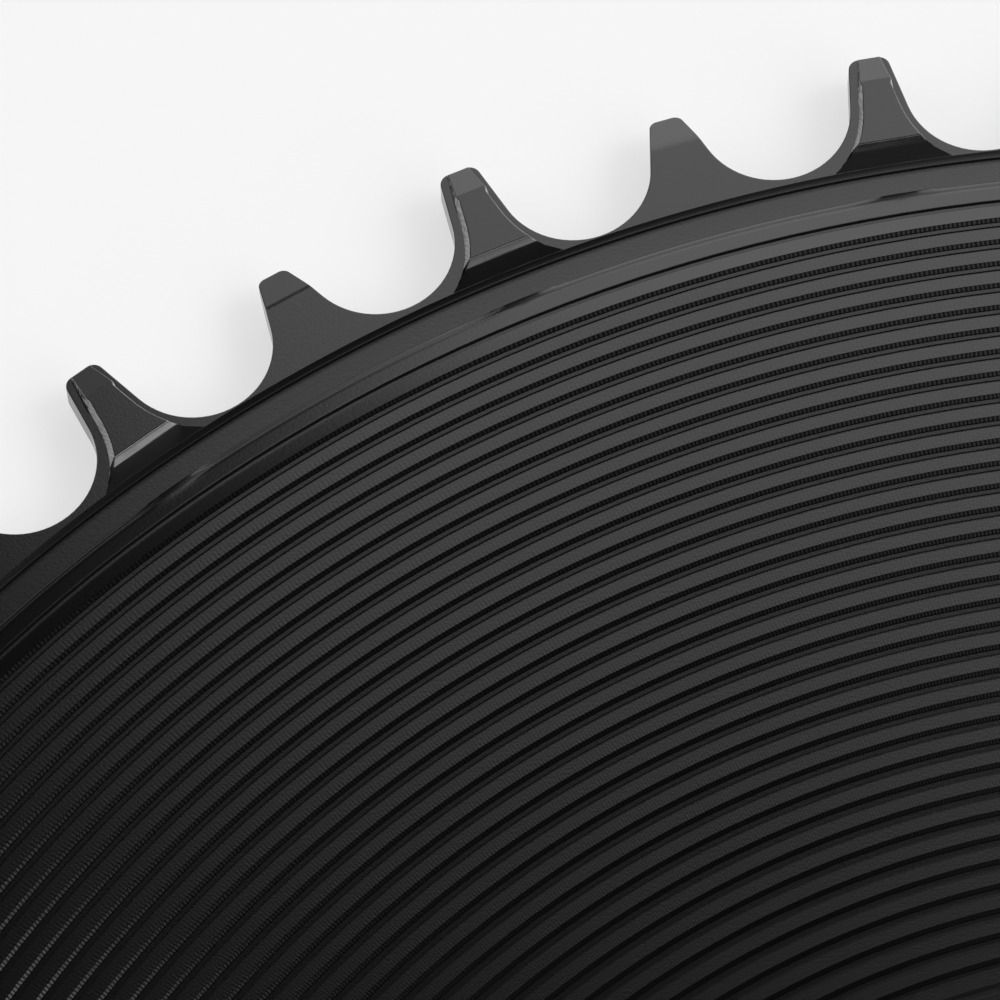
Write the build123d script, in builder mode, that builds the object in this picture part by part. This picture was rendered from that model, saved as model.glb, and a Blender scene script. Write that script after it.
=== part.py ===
from build123d import *

import os
from math import cos, floor, radians, sin, tan

# Bicycle chainring, machined in one piece from aluminium plate.
# Wide and narrow teeth take turns round the rim, a shallow channel parts them from the disc,
# and the front of the disc is turned with concentric grooves.
# The axis is Z, the flat back lies on Z = 0, and a wide tooth stands on X.
# Lengths are in millimetres and angles in degrees.

# Chain and tooth gaps
tooth_count = 52  # even, because wide and narrow teeth take turns
chain_pitch = 12.7
seat_depth = 3.92  # from the pitch circle in to the bottom of a tooth gap
seat_radius = 4.7  # arc that the chain's roller drops into
seat_step = 0.15  # the gap on one side of a wide tooth is this much shallower, the other deeper
wide_flank = 13  # lean of a wide tooth's flank from the middle line of the gap
narrow_flank = 20

# Tooth tips
wide_height = 3.3  # above the pitch circle
narrow_height = 2.5
wide_corner = 0.4
narrow_corner = 0.3
wide_slope_length = 1.9  # along the tooth, front and back
narrow_slope_length = 2.05
tip_slope = 18

# Tooth thicknesses, and the pads that make a wide tooth wide
wide_thickness = 3.7
narrow_thickness = 1.9
pad_inset = 0.55  # strip left at the narrow thickness along a wide tooth's flanks
pad_flares = (68, 40, wide_flank)  # lean of the front pad's sides where they bend, from foot to flank
pad_reach = 2.76  # from the pitch circle in to the lower edge of the pad's face
pad_bevel = 0.45
pad_margin = 0.02  # from the channel's wall out to the pad's foot

# Channel between teeth and disc
wall_slope = 30
wall_margin = 0.1  # from the deepest gap in to the top of the channel's wall
channel_depth = 0.23  # below the face of a narrow tooth
channel_floor = 1.65
rim_rise = 0.1
rim_drop = 0.2  # how far the face of the disc falls at its rim

# Disc and its turned grooves
disc_thickness = 3.0
groove_pitch = 4.366
groove_depth = 0.36
groove_wall = 0.14  # run of a groove's steep outer wall
rim_land = 2.5  # from the rim's crest in to the first groove
hub_land = 2.0  # least plain land round the centre opening

# Bolt circle, and the metal left between its holes and the centre opening
bolt_circle_diameter = 110.0
bolt_count = 5
bolt_hole_radius = 5.05
bolt_wall = 3.95

# Worked out from the sizes above
pair_count = tooth_count // 2
tooth_angle = 360 / tooth_count
pitch_radius = chain_pitch / (2 * sin(radians(tooth_angle / 2)))
shallow_root = pitch_radius - seat_depth + seat_step
deep_root = pitch_radius - seat_depth - seat_step
wide_tip = pitch_radius + wide_height
narrow_tip = pitch_radius + narrow_height
clear_radius = wide_tip + wide_corner  # just outside every tooth
middle = wide_thickness / 2
narrow_face = middle + narrow_thickness / 2
narrow_back = middle - narrow_thickness / 2
wall_top = deep_root - wall_margin
wall_foot = wall_top - channel_depth / tan(radians(wall_slope))
back_edge = wall_top - narrow_back / tan(radians(wall_slope))
channel_face = narrow_face - channel_depth
rim_foot = wall_foot - channel_floor
rim_crest = rim_foot - rim_rise
first_groove = rim_crest - rim_land
bolt_circle_radius = bolt_circle_diameter / 2
opening_radius = bolt_circle_radius - bolt_hole_radius - bolt_wall
groove_count = floor((first_groove - opening_radius - hub_land) / groove_pitch)
pad_foot = wall_top + pad_margin
pad_shoulder = wide_thickness - pad_bevel
wide_slope = wide_tip - wide_slope_length
narrow_slope = narrow_tip - narrow_slope_length

os.makedirs("parts", exist_ok=True)


def arc_point(root, side, inset, lean):
    """Point on a tooth gap's arc where the arc leans this far from the gap's middle line, X."""
    radius = seat_radius + inset
    return Vector(root + seat_radius - radius * sin(radians(lean)), side * radius * cos(radians(lean)))


def flank_point(root, side, inset, lean, reach):
    """Point at X = reach on the straight flank that goes on from that arc."""
    radius = seat_radius + inset
    width = radius / cos(radians(lean)) + (reach - root - seat_radius) * tan(radians(lean))
    return Vector(reach, side * width)


def tooth_gap(root, wide_side):
    """Outline of the gap between two teeth, centred on X; wide_side is the sign of Y at the wide tooth."""
    wide_end = arc_point(root, wide_side, 0, wide_flank)
    narrow_end = arc_point(root, -wide_side, 0, narrow_flank)
    with BuildSketch() as gap:
        with BuildLine():
            ThreePointArc(narrow_end, (root, 0), wide_end)
            Polyline(
                wide_end,
                flank_point(root, wide_side, 0, wide_flank, clear_radius),
                flank_point(root, -wide_side, 0, narrow_flank, clear_radius),
                narrow_end,
            )
        make_face()
    return gap.sketch


def pad(outline):
    """Raised front of a wide tooth on X, inside this outline, sloping at the tip and at the foot."""
    with BuildPart() as block:
        with BuildSketch(Plane.XZ):
            with BuildLine():
                Polyline(
                    (pad_foot, narrow_face),
                    (pad_foot + (pad_shoulder - narrow_face) / tan(radians(wall_slope)), pad_shoulder),
                    (pitch_radius - pad_reach, wide_thickness),
                    (wide_slope, wide_thickness),
                    (clear_radius, wide_thickness - (clear_radius - wide_slope) * tan(radians(tip_slope))),
                    (clear_radius, narrow_face),
                    close=True,
                )
            make_face()
        extrude(amount=chain_pitch / 2, both=True)
        with BuildSketch():
            with BuildLine():
                Polyline(*outline, close=True)
            make_face()
        extrude(amount=wide_thickness, mode=Mode.INTERSECT)
    return block.part


# Outline of all the teeth, with the corners of their tips cut off
with BuildSketch() as teeth:
    Circle(clear_radius)
    with PolarLocations(0, pair_count, start_angle=tooth_angle / 2):
        add(tooth_gap(shallow_root, -1), mode=Mode.SUBTRACT)
    with PolarLocations(0, pair_count, start_angle=-tooth_angle / 2):
        add(tooth_gap(deep_root, 1), mode=Mode.SUBTRACT)
    with PolarLocations(wide_tip, pair_count):
        Rectangle(wide_height, chain_pitch, align=(Align.MIN, Align.CENTER), mode=Mode.SUBTRACT)
    with PolarLocations(narrow_tip, pair_count, start_angle=tooth_angle):
        Rectangle(wide_height, chain_pitch, align=(Align.MIN, Align.CENTER), mode=Mode.SUBTRACT)
    chamfer(teeth.vertices().sort_by(SortBy.DISTANCE)[-2 * tooth_count : -tooth_count], narrow_corner)
    chamfer(teeth.vertices().sort_by(SortBy.DISTANCE)[-tooth_count:], wide_corner)

# Sides of a wide tooth's pads: flared towards the foot on the front, straight on the back
front_sides = []
back_sides = []
for root, side in ((shallow_root, 1), (deep_root, -1)):
    front_side = [arc_point(root, -side, pad_inset, lean) for lean in pad_flares]
    front_side.append(flank_point(root, -side, pad_inset, wide_flank, clear_radius))
    back_side = [flank_point(root, -side, pad_inset, wide_flank, reach) for reach in (wall_top, clear_radius)]
    front_sides.append([point.rotate(Axis.Z, side * tooth_angle / 2) for point in front_side])
    back_sides.append([point.rotate(Axis.Z, side * tooth_angle / 2) for point in back_side])

with BuildPart() as pads:
    add(pad(back_sides[0] + back_sides[1][::-1]))
    mirror(about=Plane.XY.offset(middle), mode=Mode.REPLACE)
    add(pad(front_sides[0] + front_sides[1][::-1]))

# What is cut away to thin the tip of one narrow tooth, front and back
with BuildPart() as narrow_slopes:
    with BuildSketch(Plane.XZ):
        with BuildLine():
            Polyline(
                (narrow_slope, narrow_face),
                (clear_radius, narrow_face),
                (clear_radius, narrow_face - (clear_radius - narrow_slope) * tan(radians(tip_slope))),
                close=True,
            )
        make_face()
    extrude(amount=chain_pitch / 2, both=True)
    mirror(about=Plane.XY.offset(middle))

# Turned section: back, tooth blank, channel, rim, grooved front and centre opening
grooves = []
for number in range(groove_count):
    edge = first_groove - number * groove_pitch
    grooves += [(edge, disc_thickness), (edge - groove_wall, disc_thickness - groove_depth)]
section = [
    (opening_radius, 0),
    (back_edge, 0),
    (wall_top, narrow_back),
    (clear_radius, narrow_back),
    (clear_radius, narrow_face),
    (wall_top, narrow_face),
    (wall_foot, channel_face),
    (rim_foot, channel_face),
    (rim_crest, disc_thickness - rim_drop),
    *grooves,
    (first_groove - groove_count * groove_pitch, disc_thickness),
    (opening_radius, disc_thickness),
]

with BuildPart() as chainring:
    with BuildSketch(Plane.XZ):
        with BuildLine():
            Polyline(*section, close=True)
        make_face()
    revolve(axis=Axis.Z)
    with PolarLocations(0, pair_count, start_angle=tooth_angle):
        add(narrow_slopes.part, mode=Mode.SUBTRACT)
    with PolarLocations(0, pair_count):
        add(pads.part)
    extrude(teeth.sketch, amount=wide_thickness, mode=Mode.INTERSECT)
    with Locations((0, 0, disc_thickness)):
        with PolarLocations(bolt_circle_radius, bolt_count):
            Hole(bolt_hole_radius)

chainring.part.label = "chainring"
export_step(chainring.part, "parts/chainring.step")
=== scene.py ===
from math import asin, atan2, cos, floor, pi, radians, sin, tan

import bmesh
import bpy
from bpy.props import FloatProperty, FloatVectorProperty, IntProperty, PointerProperty
from mathutils import Matrix, Vector


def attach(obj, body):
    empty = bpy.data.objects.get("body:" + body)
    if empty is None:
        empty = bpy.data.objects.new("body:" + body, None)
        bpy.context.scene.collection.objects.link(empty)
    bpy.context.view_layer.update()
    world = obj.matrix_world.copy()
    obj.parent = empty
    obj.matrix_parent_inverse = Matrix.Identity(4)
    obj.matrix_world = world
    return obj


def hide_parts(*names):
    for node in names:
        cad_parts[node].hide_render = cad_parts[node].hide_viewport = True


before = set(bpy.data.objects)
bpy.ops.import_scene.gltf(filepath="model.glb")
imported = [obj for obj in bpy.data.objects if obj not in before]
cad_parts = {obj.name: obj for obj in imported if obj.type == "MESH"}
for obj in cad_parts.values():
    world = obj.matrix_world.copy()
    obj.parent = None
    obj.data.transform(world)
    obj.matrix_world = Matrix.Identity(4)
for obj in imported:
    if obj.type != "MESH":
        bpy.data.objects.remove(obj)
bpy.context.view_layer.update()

bl_info = {
    "name": "Narrow-wide chainring",
    "version": (1, 0, 0),
    "blender": (4, 5, 0),
    "location": "View3D > Sidebar > Chainring",
    "description": "A machined bicycle chainring with a grooved disc, on a pale studio floor",
    "category": "Add Mesh",
}


def length(name, description, default):
    """A length in metres that a user may change."""
    return FloatProperty(name=name, description=description, default=default, unit="LENGTH", precision=6)


def angle(name, description, default):
    """An angle that a user may change, given here in degrees."""
    return FloatProperty(name=name, description=description, default=radians(default), subtype="ANGLE")


class ToothSizes(bpy.types.PropertyGroup):
    """Sizes of the teeth and of the pads that make every other tooth wide."""
    count: IntProperty(name="Teeth", description="Number of teeth, wide and narrow together", default=52)
    chain_pitch: length("Chain pitch", "Distance between the chain's rollers", 0.0127)
    seat_depth: length("Seat depth", "From the pitch circle in to the bottom of a gap", 0.00392)
    seat_radius: length("Seat radius", "Arc that a chain roller drops into", 0.0047)
    seat_step: length("Seat step", "How much shallower one gap is, and the next one deeper", 0.00015)
    wide_flank: angle("Wide flank", "Lean of a wide tooth's flank from the gap's middle line", 13)
    narrow_flank: angle("Narrow flank", "Lean of a narrow tooth's flank from the gap's middle line", 20)
    wide_height: length("Wide height", "Tip of a wide tooth above the pitch circle", 0.0033)
    narrow_height: length("Narrow height", "Tip of a narrow tooth above the pitch circle", 0.0025)
    wide_corner: length("Wide corner", "Rounding of a wide tooth's tip", 0.00055)
    narrow_corner: length("Narrow corner", "Rounding of a narrow tooth's tip", 0.0004)
    wide_slope: length("Wide slope", "Length of the sloping end of a pad", 0.002)
    narrow_slope: length("Narrow slope", "Length of the sloping end of a narrow tooth", 0.00205)
    tip_slope: angle("Tip slope", "Fall of the sloping tooth ends", 18)
    wide_thickness: length("Wide thickness", "Thickness over the pads", 0.0037)
    narrow_thickness: length("Narrow thickness", "Thickness of a narrow tooth", 0.0019)
    deep_strip: length("Deep strip", "Strip left beside a pad at the deeper gap", 0.00045)
    deep_waist: length("Deep waist", "How much wider that strip is at the pad's foot", 0.00032)
    shallow_strip: length("Shallow strip", "Strip left beside a pad at the shallower gap", 0.00053)
    shallow_waist: length("Shallow waist", "How much wider that strip is at the pad's foot", 0.00055)
    pad_draft: length("Pad draft", "How much a pad narrows on each side from the strip to its face", 0.0002)
    pad_reach: length("Pad reach", "From the pitch circle in to the lower edge of a pad's face", 0.00291)
    pad_bevel: length("Pad bevel", "Height of the bevel below that edge", 0.000405)
    pad_round: length("Pad rounding", "Broken edge round a pad's face", 0.00005)
    edge_round: length("Edge rounding", "Broken edge all round the teeth", 0.00005)


class DiscSizes(bpy.types.PropertyGroup):
    """Sizes of the turned disc, its channel and its grooves."""
    thickness: length("Thickness", "Disc thickness between grooves", 0.003)
    wall_margin: length("Wall margin", "From the deepest gap in to the top of the channel's wall", 0.0001)
    wall_slope: angle("Wall slope", "Slope of the channel's outer wall", 30)
    channel_depth: length("Channel depth", "Channel floor below a narrow tooth's face", 0.00023)
    back_edge: length("Back edge", "Radius of the flat back", 0.09944)
    rim_foot: length("Rim foot", "Radius of the channel's inner edge", 0.099)
    rim_drop: length("Rim drop", "Fall of the disc's face at its rim", 0.0002)
    scoop_width: length("Crescent width", "Length of the raised crescent on the rim below a wide tooth", 0.0055)
    scoop_depth: length("Crescent depth", "Radial depth of that crescent", 0.00067)
    scoop_rise: length("Crescent rise", "Height of that crescent at its outer edge", 0.00003)
    first_groove: length("First groove", "Radius of the outermost full groove's outer edge", 0.096356)
    faint_step: length("Faint groove", "From there out to the edge of one fainter groove", 0.00117)
    groove_pitch: length("Groove pitch", "Distance from groove to groove", 0.0014554)
    groove_width: length("Groove width", "Width of a groove at the top", 0.00058)
    groove_depth: length("Groove depth", "Depth of a groove", 0.00013)
    lip_height: length("Lip height", "Burr standing up along a groove's inner edge", 0.000022)
    groove_count: IntProperty(name="Grooves", description="Full grooves turned in the face", default=33)
    opening_radius: length("Opening radius", "Radius of the centre opening", 0.046)
    bolt_circle: length("Bolt circle", "Diameter of the circle through the bolt holes", 0.110)
    bolt_hole_radius: length("Bolt hole radius", "Radius of each bolt hole", 0.00505)
    bolt_count: IntProperty(name="Bolt holes", description="Number of bolt holes", default=5)


class FinishSettings(bpy.types.PropertyGroup):
    """Black anodised finish."""
    black: FloatVectorProperty(name="Black", description="Colour of the anodised metal", subtype="COLOR",
                               default=(0.0008, 0.0008, 0.0008))
    roughness: FloatProperty(name="Roughness", description="Mean roughness of the finish", default=0.15,
                             subtype="FACTOR")
    # Lighter grey painted on the pads' milled sides and edges as a speckled, glinting highlight
    milled_glint: FloatVectorProperty(name="Milled", description="Colour of the rougher milled sides of the pads",
                                subtype="COLOR", default=(0.25, 0.25, 0.25))
    ticks: IntProperty(name="Tool ticks", description="Tool marks round one turn of a groove", default=2100)
    tick_depth: length("Tick depth", "Depth of those marks", 0.000006)
    grain_depth: length("Grain depth", "Depth of the fine grain of the finish", 0.000002)


class StageSettings(bpy.types.PropertyGroup):
    """Floor, lamps and camera."""
    floor: FloatVectorProperty(name="Floor", description="Colour of the floor", subtype="COLOR",
                               default=(0.79, 0.79, 0.79))
    camera_place: FloatVectorProperty(name="Camera place", description="Where the camera stands",
                                      subtype="TRANSLATION", unit="LENGTH", default=(-0.04219, -0.08141, 0.33938))
    camera_aim: FloatVectorProperty(name="Camera aim", description="The point in the middle of the picture",
                                    subtype="TRANSLATION", unit="LENGTH", default=(-0.03709, 0.07920, 0.003))
    camera_right: FloatVectorProperty(name="Camera right", description="Direction of the picture's right side",
                                      subtype="DIRECTION", default=(0.99838, -0.05564, -0.0114))
    lens: FloatProperty(name="Lens", description="Focal length on a 36 mm sensor, in millimetres", default=228.0)


MM = 1000.0  # meshes are shaped in millimetres and brought to metres at the end

# Fineness of the mesh, in millimetres, radians and numbers of facets
MERGE = 5e-4  # points nearer than this are joined
SLACK = 1e-3  # allowance where a point is tested against a radius or a height
FINE_SLACK = 1e-4
SEAM_SLACK = 1e-5  # the same for the angle of a cut between two teeth
GAP_STEPS = 14  # on half of a gap's arc
CORNER_STEPS = 5  # on the rounding of a tip
TOOTH_STEPS = 12  # of the rim in one tooth's share
DISC_STEPS = 10  # of the disc in the share of a pair of teeth
HOLE_STEPS = 64  # round a bolt hole
TOOTH_CREASE = radians(12)  # an edge on the teeth that turns by more than this shows as an edge
RIM_CREASE = radians(30)
GROOVE_CREASE = radians(5)
WALL_TILT = (0.84, 0.9)  # upward part of a normal on the sloping walls, from the steepest to the flattest

# Small forms, in millimetres
BEND_ROUND = 0.25  # rounding where a narrow tooth's tip begins to slope
PAD_SINK = 0.4  # how far a pad's block goes down into the tooth
PAD_STOP = 0.15  # from a wide tooth's tip in to the end of its pad

# Curves, as shares of a run and of a rise or a depth
PAD_SHARES = (0, 0.05, 0.3, 0.4, 0.5, 0.625, 0.75, 0.875, 1)  # points on a pad's curved side, from its foot out
BEVEL_CURVE = ((0, 0), (0.45, 0.33), (0.75, 0.635), (1, 1))  # a pad's bevel, from the wall to the pad's face
GROOVE_CURVE = ((0, 0), (0.03, 0.2), (0.38, 0.93), (0.5, 1), (0.94, 1.03))  # a groove, from its outer edge in

# How rough the cutter left a pad, and how much lighter grey is painted on it as a glinting highlight, from 0 to 1
MILLED_GLINT_SIDE = 1
MILLED_GLINT_TIP_SIDE = 0.4
MILLED_GLINT_ROUNDING = 0.3
MILLED_GLINT_BEVEL = 0.06

# Soft light panels: the way they lie, half width, lower and upper height, softness of the sides and of the
# other edges, all in degrees as seen from the ring, and strength
PANELS = (
    (68.5, 28, 42, 65, 4, 4, 2.45),
    (66, 38, 2, 44, 6, 5, 1.75),
    (92, 32, 2, 42, 8, 5, 0.8),
    (56, 14, 6, 36, 6, 6, 3.0),
    (-36, 20, 8, 43, 20, 2, 6.5),
    (-95, 35, 35, 66, 15, 8, 0.27),
    (-75, 50, 63.3, 100, 25, 3, 1.1),
    (170, 26, 0, 38, 10, 8, 5.0),
    (6, 18, 30, 64, 5, 4, 5.0),
)
STUDIO_LEVEL = 0.012  # light between the panels
FLOOR_GLOW = 0.8  # share of the floor's look that is its plain colour, the rest being lit and shaded


class RingMaths:
    """Radii and heights in millimetres that follow from the sizes."""

    def __init__(self, teeth, disc):
        self.half_tooth = pi / teeth.count
        self.pitch_radius = MM * teeth.chain_pitch / (2 * sin(self.half_tooth))
        root = self.pitch_radius - MM * teeth.seat_depth
        self.shallow_root = root + MM * teeth.seat_step
        self.deep_root = root - MM * teeth.seat_step
        self.seat = MM * teeth.seat_radius
        self.wide_tip = self.pitch_radius + MM * teeth.wide_height
        self.narrow_tip = self.pitch_radius + MM * teeth.narrow_height
        self.bend = self.wide_tip - MM * teeth.wide_slope
        self.top = MM * teeth.wide_thickness
        self.face = (self.top + MM * teeth.narrow_thickness) / 2
        self.back = (self.top - MM * teeth.narrow_thickness) / 2
        self.shoulder = self.top - MM * teeth.pad_bevel
        self.wall_top = self.deep_root - MM * disc.wall_margin
        self.back_edge = MM * disc.back_edge
        self.pad_foot = self.wall_top + 0.01
        self.wall_end = self.pad_foot + (self.shoulder - self.face) / tan(disc.wall_slope)
        self.land = MM * disc.thickness

    def from_middle(self, height):
        """The same height on the front for a point on the front or on the back."""
        return abs(height - self.top / 2) + self.top / 2


def everything(bm):
    """All the vertices, edges and faces of a bmesh."""
    return list(bm.verts) + list(bm.edges) + list(bm.faces)


def all_round(bm, count):
    """Repeats what is in a bmesh until there are count copies evenly round Z, and joins them."""
    bmesh.ops.spin(bm, geom=everything(bm), cent=(0, 0, 0), axis=(0, 0, 1), angle=2 * pi * (count - 1) / count,
                   steps=count - 1, use_duplicate=True)
    bmesh.ops.remove_doubles(bm, verts=bm.verts, dist=MERGE)


def lathe(section, shares, steps):
    """Turns an open section of (radius, height) points about Z in equal shares, each of so many steps."""
    bm = bmesh.new()
    verts = [bm.verts.new((radius, 0.0, height)) for radius, height in section]
    edges = [bm.edges.new(pair) for pair in zip(verts, verts[1:])]
    bmesh.ops.spin(bm, geom=verts + edges, cent=(0, 0, 0), axis=(0, 0, 1), angle=2 * pi / shares, steps=steps)
    all_round(bm, shares)
    return bm


def join(target, source):
    """Moves what is in one bmesh into another."""
    mesh = bpy.data.meshes.new("joined")
    source.to_mesh(mesh)
    source.free()
    target.from_mesh(mesh)
    bpy.data.meshes.remove(mesh)


def arc_from(bm, vert, centre, turn, steps):
    """Carries a vertex round a centre in the XY plane and returns the arc's vertices, with the first one."""
    verts = [vert]
    for _ in range(steps):
        made = bmesh.ops.spin(bm, geom=[verts[-1]], cent=centre, axis=(0, 0, 1), angle=turn / steps, steps=1)
        verts += [item for item in made["geom_last"] if isinstance(item, bmesh.types.BMVert)]
    return verts


def cut_off(bm, point, normal):
    """Cuts away what lies beyond a plane and closes the cut."""
    cut = bmesh.ops.bisect_plane(bm, geom=everything(bm), dist=1e-6, plane_co=point, plane_no=normal,
                                 clear_outer=True)
    edges = [item for item in cut["geom_cut"] if isinstance(item, bmesh.types.BMEdge)]
    bmesh.ops.contextual_create(bm, geom=edges)


def round_edges(bm, edges, size, segments=2):
    """Rounds these edges."""
    bmesh.ops.bevel(bm, geom=edges, offset=size, offset_type="OFFSET", segments=segments, profile=0.5,
                    affect="EDGES", material=-1, clamp_overlap=False)


def extrude_up(bm, rise):
    """Makes a closed block of the one face in a bmesh."""
    made = bmesh.ops.extrude_face_region(bm, geom=list(bm.faces), use_keep_orig=True)
    raised = [item for item in made["geom"] if isinstance(item, bmesh.types.BMVert)]
    bmesh.ops.translate(bm, verts=raised, vec=(0, 0, rise))
    bmesh.ops.recalc_face_normals(bm, faces=bm.faces)


def mesh_object(bm, name):
    """A mesh object made from a bmesh."""
    mesh = bpy.data.meshes.new(name)
    bm.to_mesh(mesh)
    bm.free()
    thing = bpy.data.objects.new(name, mesh)
    bpy.context.scene.collection.objects.link(thing)
    return thing


def boolean(target, tool, operation, solver="EXACT"):
    """Applies a Boolean to target and deletes the tool."""
    change = target.modifiers.new("cut", "BOOLEAN")
    change.operation = operation
    change.solver = solver
    change.object = tool
    bpy.context.view_layer.update()
    done = bpy.data.meshes.new_from_object(target.evaluated_get(bpy.context.evaluated_depsgraph_get()))
    target.modifiers.clear()
    old = target.data
    target.data = done
    bpy.data.meshes.remove(old)
    bpy.data.meshes.remove(tool.data)


def back_to_bmesh(thing):
    """A bmesh of what an object holds; the object goes with its mesh."""
    bm = bmesh.new()
    bm.from_mesh(thing.data)
    bpy.data.meshes.remove(thing.data)
    return bm


def on_seam(maths, part):
    """True for an edge or face on the cuts between one tooth's share of the rim and the rest."""
    turns = [atan2(vert.co.y, vert.co.x) for vert in part.verts]
    return (all(abs(turn + maths.half_tooth) < SEAM_SLACK for turn in turns)
            or all(abs(turn - maths.half_tooth) < SEAM_SLACK for turn in turns)
            or all(vert.co.xy.length < maths.wall_top + SLACK for vert in part.verts))


def tooth_plate(maths, low_root, high_root, lean, tip, corner, edge_round, slope_length=0.0, slope=0.0):
    """One tooth on X at the narrow thickness, with its share of the rim; a slope thins its tip."""
    bm = bmesh.new()
    turn = maths.half_tooth
    sides = []
    for side, root in ((-1, low_root), (1, high_root)):
        spin = Matrix.Rotation(side * turn, 3, "Z")
        bottom = bm.verts.new(spin @ Vector((root, 0, maths.back)))
        centre = spin @ Vector((root + maths.seat, 0, maths.back))
        arc = arc_from(bm, bottom, centre, side * (pi / 2 - lean), GAP_STEPS)
        end = arc[-1].co
        peak = bm.verts.new((tip, end.y - side * (tip - end.x) * tan(lean - turn), maths.back))
        sides.append(arc + [peak])
    inner_low = bm.verts.new(Matrix.Rotation(-turn, 3, "Z") @ Vector((maths.wall_top, 0, maths.back)))
    inner = arc_from(bm, inner_low, (0, 0, 0), 2 * turn, TOOTH_STEPS)
    bm.faces.new(sides[0] + sides[1][::-1] + inner[::-1])
    bmesh.ops.bevel(bm, geom=[sides[0][-1], sides[1][-1]], offset=corner, offset_type="OFFSET",
                    segments=CORNER_STEPS, profile=0.5, affect="VERTICES", material=-1)
    extrude_up(bm, maths.face - maths.back)
    if slope_length:
        start = tip - slope_length
        for height, sign in ((maths.face, 1), (maths.back, -1)):
            cut_off(bm, (start, 0, height), (sin(slope), 0, sign * cos(slope)))
            bends = [edge for edge in bm.edges
                     if all(abs(vert.co.x - start) < FINE_SLACK and abs(vert.co.z - height) < FINE_SLACK
                            for vert in edge.verts)]
            round_edges(bm, bends, BEND_ROUND, 3)
    sharp = [edge for edge in bm.edges if len(edge.link_faces) == 2 and edge.calc_face_angle() > radians(50)
             and not on_seam(maths, edge)]
    round_edges(bm, sharp, edge_round)
    return bm


def pad_outline(bm, maths, teeth, draw_in, height):
    """Face of a wide tooth's outline less the strips beside its pad, drawn in further by draw_in."""
    sides = []
    flank = teeth.wide_flank
    for side, root, strip, waist, flare in (
        (-1, maths.deep_root, teeth.deep_strip, teeth.deep_waist, 0),
        (1, maths.shallow_root, teeth.shallow_strip, teeth.shallow_waist, draw_in),
    ):
        spin = Matrix.Rotation(side * maths.half_tooth, 3, "Z")
        seat = maths.seat + MM * strip + draw_in
        middle = root + maths.seat
        foot = asin((middle ** 2 + seat ** 2 - maths.pad_foot ** 2) / (2 * middle * seat))
        verts = []
        for share in PAD_SHARES:
            lean = foot + share * (flank - foot)
            out = seat + MM * waist * cos(share * pi / 2) ** 2 + flare * (1 - share)
            point = Vector((middle - out * sin(lean), -side * out * cos(lean), height))
            verts.append(bm.verts.new(spin @ point))
        end = verts[-1].co
        # Past the bend the sides stand steeper
        for out, eased in ((maths.bend - 0.35, 0), (maths.bend - 0.1, 0.7), (maths.wide_tip - PAD_STOP, 0.7)):
            across = end.y - side * ((out - end.x) * tan(flank - maths.half_tooth) - eased * draw_in)
            verts.append(bm.verts.new((out, across, height)))
        sides.append(verts)
    return bm.faces.new(sides[0] + sides[1][::-1])


def pad_block(maths, teeth):
    """Raised front of a wide tooth on X, sunk into the plate below it."""
    base = maths.face - PAD_SINK
    draft = MM * teeth.pad_draft / (maths.top - maths.face)
    block = bmesh.new()
    low = pad_outline(block, maths, teeth, -PAD_SINK * draft, base)
    high = pad_outline(block, maths, teeth, MM * teeth.pad_draft, maths.top)
    bmesh.ops.bridge_loops(block, edges=list(low.edges) + list(high.edges))
    bmesh.ops.recalc_face_normals(block, faces=block.faces)

    outside = maths.wide_tip + 0.5
    run = maths.pitch_radius - MM * teeth.pad_reach - maths.wall_end
    rise = maths.top - maths.shoulder
    profile = [
        (maths.pad_foot, base - 0.1),
        (maths.pad_foot, maths.face - 0.005),
        *((maths.wall_end + along * run, maths.shoulder + up * rise) for along, up in BEVEL_CURVE),
        (maths.bend, maths.top),
        (outside, maths.top - (outside - maths.bend) * tan(teeth.tip_slope)),
        (outside, base - 0.1),
    ]
    turned = bmesh.new()
    spin = Matrix.Rotation(-maths.half_tooth, 3, "Z")
    verts = [turned.verts.new(spin @ Vector((radius, 0, height))) for radius, height in profile]
    edges = [turned.edges.new(pair) for pair in zip(verts, verts[1:] + verts[:1])]
    bmesh.ops.spin(turned, geom=verts + edges, cent=(0, 0, 0), axis=(0, 0, 1), angle=2 * maths.half_tooth,
                   steps=TOOTH_STEPS)
    bmesh.ops.holes_fill(turned, edges=[edge for edge in turned.edges if edge.is_boundary])
    bmesh.ops.recalc_face_normals(turned, faces=turned.faces)

    pad = mesh_object(block, "pad")
    boolean(pad, mesh_object(turned, "pad_profile"), "INTERSECT")
    bm = back_to_bmesh(pad)
    bmesh.ops.dissolve_limit(bm, angle_limit=radians(1), verts=bm.verts, edges=bm.edges)
    bmesh.ops.remove_doubles(bm, verts=bm.verts, dist=0.01)
    upper = [vert for vert in bm.verts if vert.co.z > maths.shoulder - 0.1]
    bmesh.ops.remove_doubles(bm, verts=upper, dist=0.08)
    sharp = []
    for edge in bm.edges:
        inner = min(vert.co.x for vert in edge.verts)
        lowest = maths.shoulder - 0.01 if inner < maths.bend - 0.2 else maths.face - 0.2
        if edge.calc_face_angle() > radians(40) and min(vert.co.z for vert in edge.verts) > lowest:
            sharp.append(edge)
    round_edges(bm, sharp, MM * teeth.pad_round)
    return bm


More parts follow.
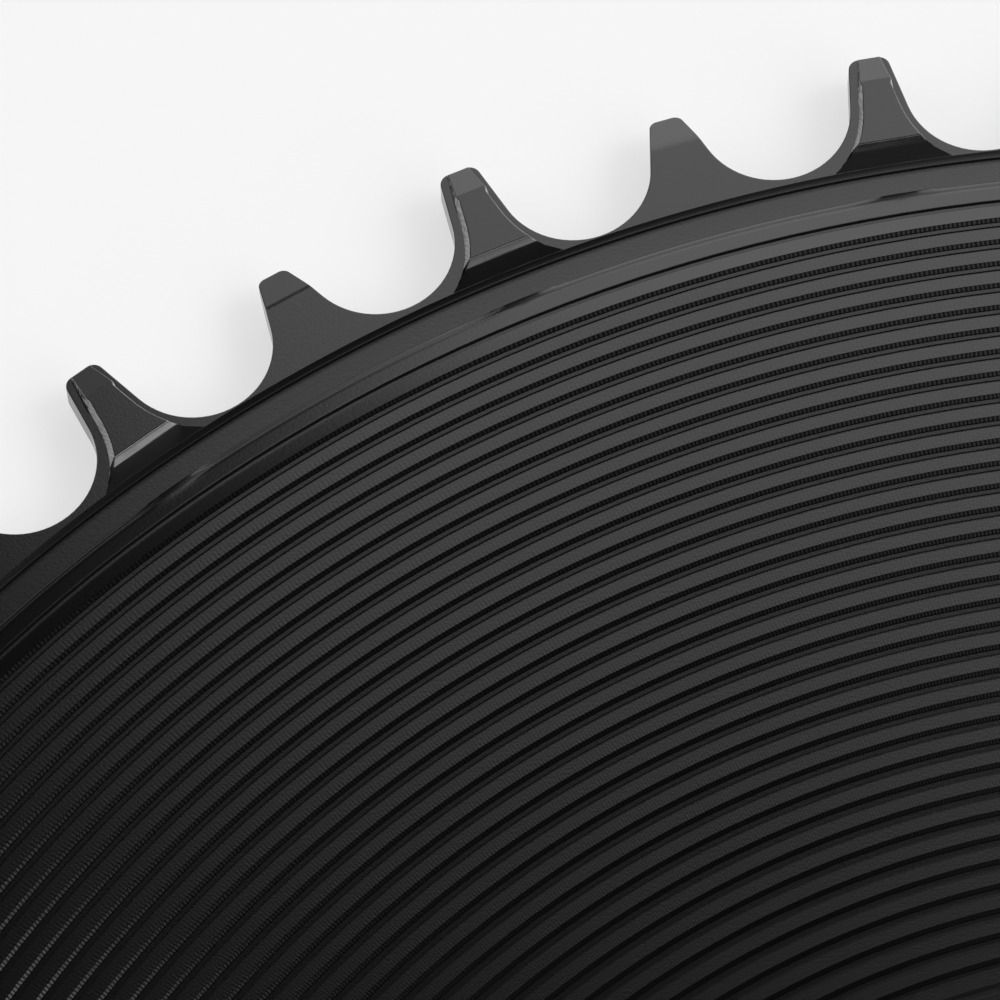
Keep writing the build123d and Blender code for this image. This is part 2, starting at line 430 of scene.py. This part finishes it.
def wide_tooth(maths, teeth):
    """A wide tooth on X: the plate with a pad on its front and on its back."""
    plate = tooth_plate(maths, maths.deep_root, maths.shallow_root, teeth.wide_flank, maths.wide_tip,
                        MM * teeth.wide_corner, MM * teeth.edge_round)
    tooth = mesh_object(plate, "wide_tooth")
    front = pad_block(maths, teeth)
    back = pad_block(maths, teeth)
    bmesh.ops.scale(back, verts=back.verts, vec=(1, 1, -1))
    bmesh.ops.translate(back, verts=back.verts, vec=(0, 0, maths.top))
    bmesh.ops.recalc_face_normals(back, faces=back.faces)
    boolean(tooth, mesh_object(front, "front_pad"), "UNION")
    boolean(tooth, mesh_object(back, "back_pad"), "UNION")
    bm = back_to_bmesh(tooth)
    bmesh.ops.bisect_plane(bm, geom=everything(bm), plane_co=(maths.bend, 0, 0), plane_no=(1, 0, 0))
    return bm


def tooth_ring(maths, teeth):
    """All the teeth in a ring, open along the circles where the rim goes on."""
    narrow = tooth_plate(maths, maths.shallow_root, maths.deep_root, teeth.narrow_flank, maths.narrow_tip,
                         MM * teeth.narrow_corner, MM * teeth.edge_round, MM * teeth.narrow_slope,
                         teeth.tip_slope)
    ring = wide_tooth(maths, teeth)
    for part in (ring, narrow):
        bmesh.ops.delete(part, geom=[face for face in part.faces if on_seam(maths, face)], context="FACES")
    turn = Matrix.Rotation(-2 * maths.half_tooth, 3, "Z")
    bmesh.ops.rotate(narrow, verts=narrow.verts, cent=(0, 0, 0), matrix=turn)
    join(ring, narrow)
    all_round(ring, teeth.count // 2)
    return ring


def rim_height(maths, disc, radius):
    """Height of the gently falling face between the outermost groove and the rim."""
    first = MM * disc.first_groove
    return maths.land - MM * disc.rim_drop * (radius - first) / (MM * disc.rim_foot - first)


def rim_section(maths, disc):
    """Front of the rim from the teeth in: wall, channel, ridge and the line beside it."""
    low = maths.face - MM * disc.channel_depth
    foot = MM * disc.rim_foot
    fall = tan(disc.wall_slope)
    run = (maths.face - low) / fall
    wall_foot = maths.wall_top - run
    ridge = rim_height(maths, disc, foot - 0.25)
    points = [
        (maths.wall_top, maths.face),
        (wall_foot + 0.2 * run, low + 0.2 * run * fall),
        (wall_foot + 0.02 * run, low + 0.08 * run * fall),
        (wall_foot - 0.15, low + 0.01),
        (wall_foot - 0.4, low),
        (foot, low - 0.01),
        (foot - 0.05, low + 0.55 * (ridge - low)),
        (foot - 0.1, ridge - 0.05),
        (foot - 0.16, ridge - 0.012),
        (foot - 0.24, ridge),
        (foot - 0.36, ridge + 0.004),
        (foot - 0.43, ridge - 0.002),
    ]
    points += [(foot - step, rim_height(maths, disc, foot - step)) for step in (0.51, 0.62, 0.8, 1.1)]
    return points


def groove(edge, land, width, depth, lip):
    """Section of one groove from its outer edge in: steep wall, sloping hollow, flat floor and a small burr."""
    points = [(edge - across * width, land - down * depth) for across, down in GROOVE_CURVE]
    return points + [(edge - width, land + lip), (edge - 1.17 * width, land)]


def disc_section(maths, disc):
    """Front of the disc from inside the rim to the opening, and on round its edge to the back."""
    land = maths.land
    first = MM * disc.first_groove
    faint = first + MM * disc.faint_step
    opening = MM * disc.opening_radius
    chamfer = 0.1
    points = [(faint + 0.15, rim_height(maths, disc, faint + 0.15))]
    width = MM * disc.groove_width
    depth = MM * disc.groove_depth
    lip = MM * disc.lip_height
    points += groove(faint, rim_height(maths, disc, faint), width / 2, depth / 8, lip / 4)
    for step in range(disc.groove_count):
        points += groove(first - step * MM * disc.groove_pitch, land, width, depth, lip)
    last = first - disc.groove_count * MM * disc.groove_pitch
    points += [(last, land), (opening + chamfer, land), (opening, land - chamfer), (opening, chamfer),
               (opening + chamfer, 0)]
    return points


def raise_crescents(bm, maths, disc):
    """Lifts the rim's ridge to a crescent below every wide tooth, facing in towards the disc."""
    foot = MM * disc.rim_foot
    half = MM * disc.scoop_width / 2
    pair = 4 * maths.half_tooth
    for vert in bm.verts:
        radius = vert.co.xy.length
        if radius > foot - SLACK or radius < foot - 1 or vert.co.z < maths.back:
            continue
        turn = atan2(vert.co.y, vert.co.x) / pair
        along = abs(turn - floor(turn + 0.5)) * pair * radius
        if along < half:
            share = 1 - (along / half) ** 2
            inner = foot - MM * disc.scoop_depth * share
            if radius > inner:
                rise = MM * disc.scoop_rise * share * ((radius - inner) / (foot - inner)) ** 2
                vert.co.z = max(vert.co.z, rim_height(maths, disc, inner) + rise)


def loop_at(bm, radius, height):
    """Open edges that lie on one circle about Z."""
    return [edge for edge in bm.edges if len(edge.link_faces) < 2
            and all(abs(vert.co.xy.length - radius) < SLACK and abs(vert.co.z - height) < SLACK
                    for vert in edge.verts)]


def bolt_cutters(maths, disc):
    """Cylinders where the bolt holes go."""
    bm = bmesh.new()
    radius = MM * disc.bolt_hole_radius
    place = Matrix.Translation((MM * disc.bolt_circle / 2, 0, maths.land / 2))
    for step in range(disc.bolt_count):
        turn = Matrix.Rotation(2 * pi * step / disc.bolt_count, 4, "Z")
        bmesh.ops.create_cone(bm, cap_ends=True, segments=HOLE_STEPS, radius1=radius, radius2=radius,
                              depth=2 * maths.land, matrix=turn @ place)
    return bm


def mark_creases(bm, maths, disc):
    """Keeps the edges sharp that show as edges on the teeth, on the rim and in the grooves."""
    for edge in bm.edges:
        radius = min(vert.co.xy.length for vert in edge.verts)
        if radius > maths.wall_top - SLACK:
            crease = TOOTH_CREASE
        elif radius > MM * disc.first_groove + 0.1:
            crease = RIM_CREASE
        else:
            crease = GROOVE_CREASE
        edge.smooth = edge.calc_face_angle(pi) < crease


def mark_milled_glint(bm, maths):
    """Writes to the milled_glint attribute, at the corners of the pads' faces, how rough the cutter left them and
    how much lighter grey is painted there as a glinting highlight.
    """
    layer = bm.loops.layers.float.new("milled_glint")
    for part in bm.faces:
        part.smooth = True
        middle = part.calc_center_median()
        out = middle.xy.length
        height = maths.from_middle(middle.z)
        level = abs(part.normal.z)
        outward = part.normal.xy.dot(middle.xy) / out
        amount = 0
        if out > maths.wall_end and height > maths.face + 0.02 and outward < 0.5:
            if level < 0.47:
                amount = MILLED_GLINT_SIDE if out < maths.bend else MILLED_GLINT_TIP_SIDE
            elif level < 0.93 and height > maths.top - 0.09:
                amount = MILLED_GLINT_ROUNDING
            elif level < 0.93 and height > maths.shoulder:
                amount = MILLED_GLINT_BEVEL
        for corner in part.loops:
            low = amount == MILLED_GLINT_BEVEL and maths.from_middle(corner.vert.co.z) < maths.shoulder + 0.1
            corner[layer] = 0 if low else amount


def number(tree, operation, *values):
    """A Math node; returns its output."""
    node = tree.nodes.new("ShaderNodeMath")
    node.operation = operation
    for socket, value in zip(node.inputs, values):
        if isinstance(value, bpy.types.NodeSocket):
            tree.links.new(value, socket)
        else:
            socket.default_value = value
    return node.outputs[0]


def product(tree, first, *others):
    """Math nodes that multiply all these; returns the last one's output."""
    for other in others:
        first = number(tree, "MULTIPLY", first, other)
    return first


def fade(tree, value, start, end, top=1.0, smooth=False):
    """A Map Range node that goes from 0 at start to top at end; returns its output."""
    node = tree.nodes.new("ShaderNodeMapRange")
    node.interpolation_type = "SMOOTHSTEP" if smooth else "LINEAR"
    node.inputs["From Min"].default_value = start
    node.inputs["From Max"].default_value = end
    node.inputs["To Max"].default_value = top
    tree.links.new(value, node.inputs["Value"])
    return node.outputs["Result"]


def noise(tree, coords, scale, detail=2.0):
    """A Noise Texture node; returns its value."""
    node = tree.nodes.new("ShaderNodeTexNoise")
    node.inputs["Scale"].default_value = scale
    node.inputs["Detail"].default_value = detail
    tree.links.new(coords, node.inputs["Vector"])
    return node.outputs[0]


def bump(tree, height, depth):
    """A Bump node for a height whose full depth is given in metres."""
    node = tree.nodes.new("ShaderNodeBump")
    node.inputs["Distance"].default_value = depth
    tree.links.new(height, node.inputs["Height"])
    return node


def groove_ticks(tree, coords, disc, finish):
    """Tool ticks on grooves and lands: their height, painted shade in dashes along the groove walls and over the
    grooves, and a fine speckling for painted glints on the pads.
    """
    split = tree.nodes.new("ShaderNodeSeparateXYZ")
    tree.links.new(coords, split.inputs[0])
    x, y = split.outputs["X"], split.outputs["Y"]
    radius = number(tree, "SQRT", number(tree, "ADD", product(tree, x, x), product(tree, y, y)))
    turn = number(tree, "DIVIDE", number(tree, "ARCTAN2", y, x), 2 * pi)
    uneven = noise(tree, coords, 900)
    phase = number(tree, "MULTIPLY_ADD", turn, finish.ticks, uneven)
    wave = product(tree, number(tree, "PINGPONG", phase, 0.5), 2)

    # Place across a groove and its land, from 0 at the groove's outer edge to 1 at the next one's
    inward = number(tree, "SUBTRACT", disc.first_groove, radius)
    place = number(tree, "FRACT", number(tree, "DIVIDE", inward, disc.groove_pitch))
    inside = number(tree, "LESS_THAN", radius, disc.first_groove)
    lip = fade(tree, number(tree, "ABSOLUTE", number(tree, "SUBTRACT", place, 0.43)), 0.08, 0.03, top=0.2)
    land = fade(tree, place, 0.5, 1, top=0.18)
    height = product(tree, number(tree, "ADD", lip, land), inside, wave)

    # Painted shade: dashes along the ticks on the steep wall and sloping hollow, and a little over the whole
    # groove, lower the specular level where the groove hides its own reflection
    wall = fade(tree, place, 0.26, 0.14, smooth=True)
    dash_shade = product(tree, number(tree, "POWER", wave, 0.7), 0.95, wall)
    hollow = product(tree, number(tree, "LESS_THAN", place, 0.385), 0.12)
    painted_groove_shade = product(tree, number(tree, "MAXIMUM", dash_shade, hollow), inside)

    # Speckle of the painted glints on the pads' milled sides
    glint_speckle = product(tree, number(tree, "PINGPONG", product(tree, phase, 2.7), 0.5), uneven, 3)
    return height, painted_groove_shade, glint_speckle


def black_finish(disc, finish):
    """Satin black anodised metal, with tool ticks and painted shade in the grooves, and rougher sides on the pads
    painted a lighter grey as glinting highlights.
    """
    material = bpy.data.materials.new("black_anodised_fine")
    material.use_nodes = True
    tree = material.node_tree
    shader = tree.nodes["Principled BSDF"]
    coords = tree.nodes.new("ShaderNodeTexCoord").outputs["Object"]
    height, painted_groove_shade, glint_speckle = groove_ticks(tree, coords, disc, finish)
    attribute = tree.nodes.new("ShaderNodeAttribute")
    attribute.attribute_name = "milled_glint"
    milled_glint = attribute.outputs["Fac"]

    colour = tree.nodes.new("ShaderNodeMix")
    colour.data_type = "RGBA"
    colour.inputs["A"].default_value = (*finish.black, 1)
    colour.inputs["B"].default_value = (*finish.milled_glint, 1)
    # Painted highlight: lighter grey mixed in on the pads' milled sides and edges, speckled like glints
    share = product(tree, milled_glint, number(tree, "MULTIPLY_ADD", glint_speckle, 1.5, 0.35))
    tree.links.new(share, colour.inputs["Factor"])
    tree.links.new(colour.outputs["Result"], shader.inputs["Base Color"])

    roughness = number(tree, "MULTIPLY_ADD", milled_glint, 0.3, finish.roughness)
    tree.links.new(roughness, shader.inputs["Roughness"])
    # Painted shade: the specular level is lowered in the grooves' dashes and hollows
    gloss = number(tree, "MULTIPLY_ADD", painted_groove_shade, -0.5, 0.5)
    # On the pads the specular level is also lowered in the same speckle, beside the painted glints
    rough = number(tree, "MINIMUM", product(tree, milled_glint, 12), 1)
    speckle_gloss = number(tree, "SUBTRACT", 1, product(tree, rough, glint_speckle))
    tree.links.new(product(tree, gloss, speckle_gloss), shader.inputs["Specular IOR Level"])

    ticks = bump(tree, height, finish.tick_depth)
    grain = bump(tree, noise(tree, coords, 6000, 3), finish.grain_depth)
    tree.links.new(ticks.outputs["Normal"], grain.inputs["Normal"])
    tree.links.new(grain.outputs["Normal"], shader.inputs["Normal"])
    return material


class CHAINRING_OT_ring(bpy.types.Operator):
    """Model the chainring in full detail in place of the plain solid"""
    bl_idname = "chainring.ring"
    bl_label = "Chainring"

    def execute(self, context):
        teeth = context.scene.chainring_teeth
        disc = context.scene.chainring_disc
        maths = RingMaths(teeth, disc)
        pairs = teeth.count // 2

        ring = tooth_ring(maths, teeth)
        front = rim_section(maths, disc)
        face = disc_section(maths, disc)
        back = [(maths.wall_top, maths.back), (maths.back_edge, 0)]
        rim = lathe(front, pairs, 2 * TOOTH_STEPS)
        raise_crescents(rim, maths, disc)
        join(ring, rim)
        join(ring, lathe(face, pairs, DISC_STEPS))
        join(ring, lathe(back, pairs, 2 * TOOTH_STEPS))
        bmesh.ops.remove_doubles(ring, verts=ring.verts, dist=MERGE)
        for outer, inner in ((front[-1], face[0]), (back[-1], face[-1])):
            edges = loop_at(ring, *outer) + loop_at(ring, *inner)
            bmesh.ops.triangle_fill(ring, edges=edges, use_beauty=True, use_dissolve=False, normal=(0, 0, 1))
        bmesh.ops.recalc_face_normals(ring, faces=ring.faces)
        if any(len(edge.link_faces) != 2 for edge in ring.edges):
            raise RuntimeError("the ring's surface is not closed")
        piece = mesh_object(ring, "chainring_fine")
        boolean(piece, mesh_object(bolt_cutters(maths, disc), "bolt_holes"), "DIFFERENCE", "MANIFOLD")

        ring = bmesh.new()
        ring.from_mesh(piece.data)
        bmesh.ops.dissolve_degenerate(ring, edges=ring.edges, dist=FINE_SLACK)
        # Many-sided faces on the walls are cut up here, because an export would fold their slimmest corners
        steepest, flattest = WALL_TILT
        walls = [part for part in ring.faces
                 if len(part.verts) > 4 and steepest < abs(part.normal.z) < flattest]
        bmesh.ops.triangulate(ring, faces=walls)
        mark_creases(ring, maths, disc)
        mark_milled_glint(ring, maths)
        bmesh.ops.scale(ring, verts=ring.verts, vec=(1 / MM,) * 3)
        ring.to_mesh(piece.data)
        ring.free()
        piece.data.materials.clear()
        piece.data.materials.append(black_finish(disc, context.scene.chainring_finish))
        normals = piece.modifiers.new("normals", "WEIGHTED_NORMAL")
        normals.keep_sharp = True
        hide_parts("chainring")
        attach(piece, "root")
        return {"FINISHED"}


def softbox(stage, name, direction, distance, width, height, radiance):
    """An area lamp aimed at the middle of the picture, its brightness given as the white level it shows."""
    lamp = bpy.data.lights.new(name, "AREA")
    lamp.shape = "RECTANGLE"
    lamp.size = width
    lamp.size_y = height
    lamp.energy = radiance * pi * width * height
    thing = bpy.data.objects.new(name, lamp)
    way = Vector(direction).normalized()
    place = Vector(stage.camera_aim) + distance * way
    thing.matrix_world = Matrix.LocRotScale(place, way.to_track_quat("Z", "Y"), None)
    bpy.context.scene.collection.objects.link(thing)


def pale_floor(stage):
    """Matt floor that stays pale in the picture and in reflections, and keeps the ring's shadow."""
    bm = bmesh.new()
    bmesh.ops.create_grid(bm, x_segments=1, y_segments=1, size=4)
    bmesh.ops.translate(bm, verts=bm.verts, vec=(0, 0, -0.00002))
    ground = mesh_object(bm, "floor")
    material = bpy.data.materials.new("floor")
    material.use_nodes = True
    tree = material.node_tree
    matt = tree.nodes["Principled BSDF"]
    matt.inputs["Base Color"].default_value = (*stage.floor, 1)
    matt.inputs["Roughness"].default_value = 1
    matt.inputs["Specular IOR Level"].default_value = 0
    pale = tree.nodes.new("ShaderNodeEmission")
    pale.inputs["Color"].default_value = (*stage.floor, 1)
    ray = tree.nodes.new("ShaderNodeLightPath")
    seen = number(tree, "MAXIMUM", ray.outputs["Is Camera Ray"],
                  number(tree, "MAXIMUM", ray.outputs["Is Glossy Ray"], ray.outputs["Is Transmission Ray"]))
    mix = tree.nodes.new("ShaderNodeMixShader")
    tree.links.new(product(tree, seen, FLOOR_GLOW), mix.inputs[0])
    tree.links.new(matt.outputs[0], mix.inputs[1])
    tree.links.new(pale.outputs[0], mix.inputs[2])
    tree.links.new(mix.outputs[0], tree.nodes["Material Output"].inputs["Surface"])
    ground.data.materials.append(material)


def studio_world():
    """World lit by the soft panels."""
    world = bpy.data.worlds.new("studio")
    world.use_nodes = True
    tree = world.node_tree
    split = tree.nodes.new("ShaderNodeSeparateXYZ")
    tree.links.new(tree.nodes.new("ShaderNodeTexCoord").outputs["Generated"], split.inputs[0])
    height = number(tree, "ARCSINE", split.outputs["Z"])
    turn = number(tree, "ARCTAN2", split.outputs["Y"], split.outputs["X"])
    level = STUDIO_LEVEL
    for *angles, strength in PANELS:
        facing, half_width, low, high, side_edge, edge = (radians(value) for value in angles)
        off = number(tree, "WRAP", number(tree, "SUBTRACT", turn, facing), pi, -pi)
        aside = fade(tree, number(tree, "ABSOLUTE", off), half_width + side_edge, half_width - side_edge,
                     smooth=True)
        above = fade(tree, height, low - edge, low + edge, smooth=True)
        below = fade(tree, height, high + edge, high - edge, smooth=True)
        level = number(tree, "ADD", product(tree, aside, strength, above, below), level)
    background = tree.nodes["Background"]
    background.inputs["Color"].default_value = (1, 1, 1, 1)
    tree.links.new(level, background.inputs["Strength"])
    return world


def picture_camera(stage):
    """Camera that stands and looks as the stage's settings say."""
    camera = bpy.data.cameras.new("camera")
    camera.lens = stage.lens
    camera.sensor_width = 36
    camera.clip_start = 0.01
    thing = bpy.data.objects.new("camera", camera)
    place = Vector(stage.camera_place)
    back = (place - Vector(stage.camera_aim)).normalized()
    right = Vector(stage.camera_right)
    right = (right - right.dot(back) * back).normalized()
    turned = Matrix((right, back.cross(right), back)).transposed().to_4x4()
    thing.matrix_world = Matrix.Translation(place) @ turned
    bpy.context.scene.collection.objects.link(thing)
    return thing


class CHAINRING_OT_stage(bpy.types.Operator):
    """Set up the floor, the soft light and the camera"""
    bl_idname = "chainring.stage"
    bl_label = "Stage"

    def execute(self, context):
        scene = context.scene
        stage = scene.chainring_stage
        scene.view_settings.view_transform = "Standard"
        pale_floor(stage)
        scene.world = studio_world()
        softbox(stage, "fill", (0.8, 0.1, 0.6), 1.2, 0.7, 0.7, 7.0)
        scene.camera = picture_camera(stage)
        return {"FINISHED"}


class CHAINRING_PT_panel(bpy.types.Panel):
    """Sizes, finish and stage of the chainring"""
    bl_idname = "CHAINRING_PT_panel"
    bl_label = "Chainring"
    bl_space_type = "VIEW_3D"
    bl_region_type = "UI"
    bl_category = "Chainring"

    def draw(self, context):
        layout = self.layout
        scene = context.scene
        for settings in (scene.chainring_teeth, scene.chainring_disc, scene.chainring_finish,
                         scene.chainring_stage):
            column = layout.box().column()
            for name in settings.__annotations__:
                column.prop(settings, name)
        layout.operator(CHAINRING_OT_ring.bl_idname)
        layout.operator(CHAINRING_OT_stage.bl_idname)


CLASSES = (ToothSizes, DiscSizes, FinishSettings, StageSettings, CHAINRING_OT_ring, CHAINRING_OT_stage,
           CHAINRING_PT_panel)


def register():
    for item in CLASSES:
        bpy.utils.register_class(item)
    bpy.types.Scene.chainring_teeth = PointerProperty(type=ToothSizes)
    bpy.types.Scene.chainring_disc = PointerProperty(type=DiscSizes)
    bpy.types.Scene.chainring_finish = PointerProperty(type=FinishSettings)
    bpy.types.Scene.chainring_stage = PointerProperty(type=StageSettings)


def unregister():
    del bpy.types.Scene.chainring_stage
    del bpy.types.Scene.chainring_finish
    del bpy.types.Scene.chainring_disc
    del bpy.types.Scene.chainring_teeth
    for item in reversed(CLASSES):
        bpy.utils.unregister_class(item)


def main():
    register()
    bpy.ops.chainring.ring()
    bpy.ops.chainring.stage()


if __name__ == "__main__":
    main()
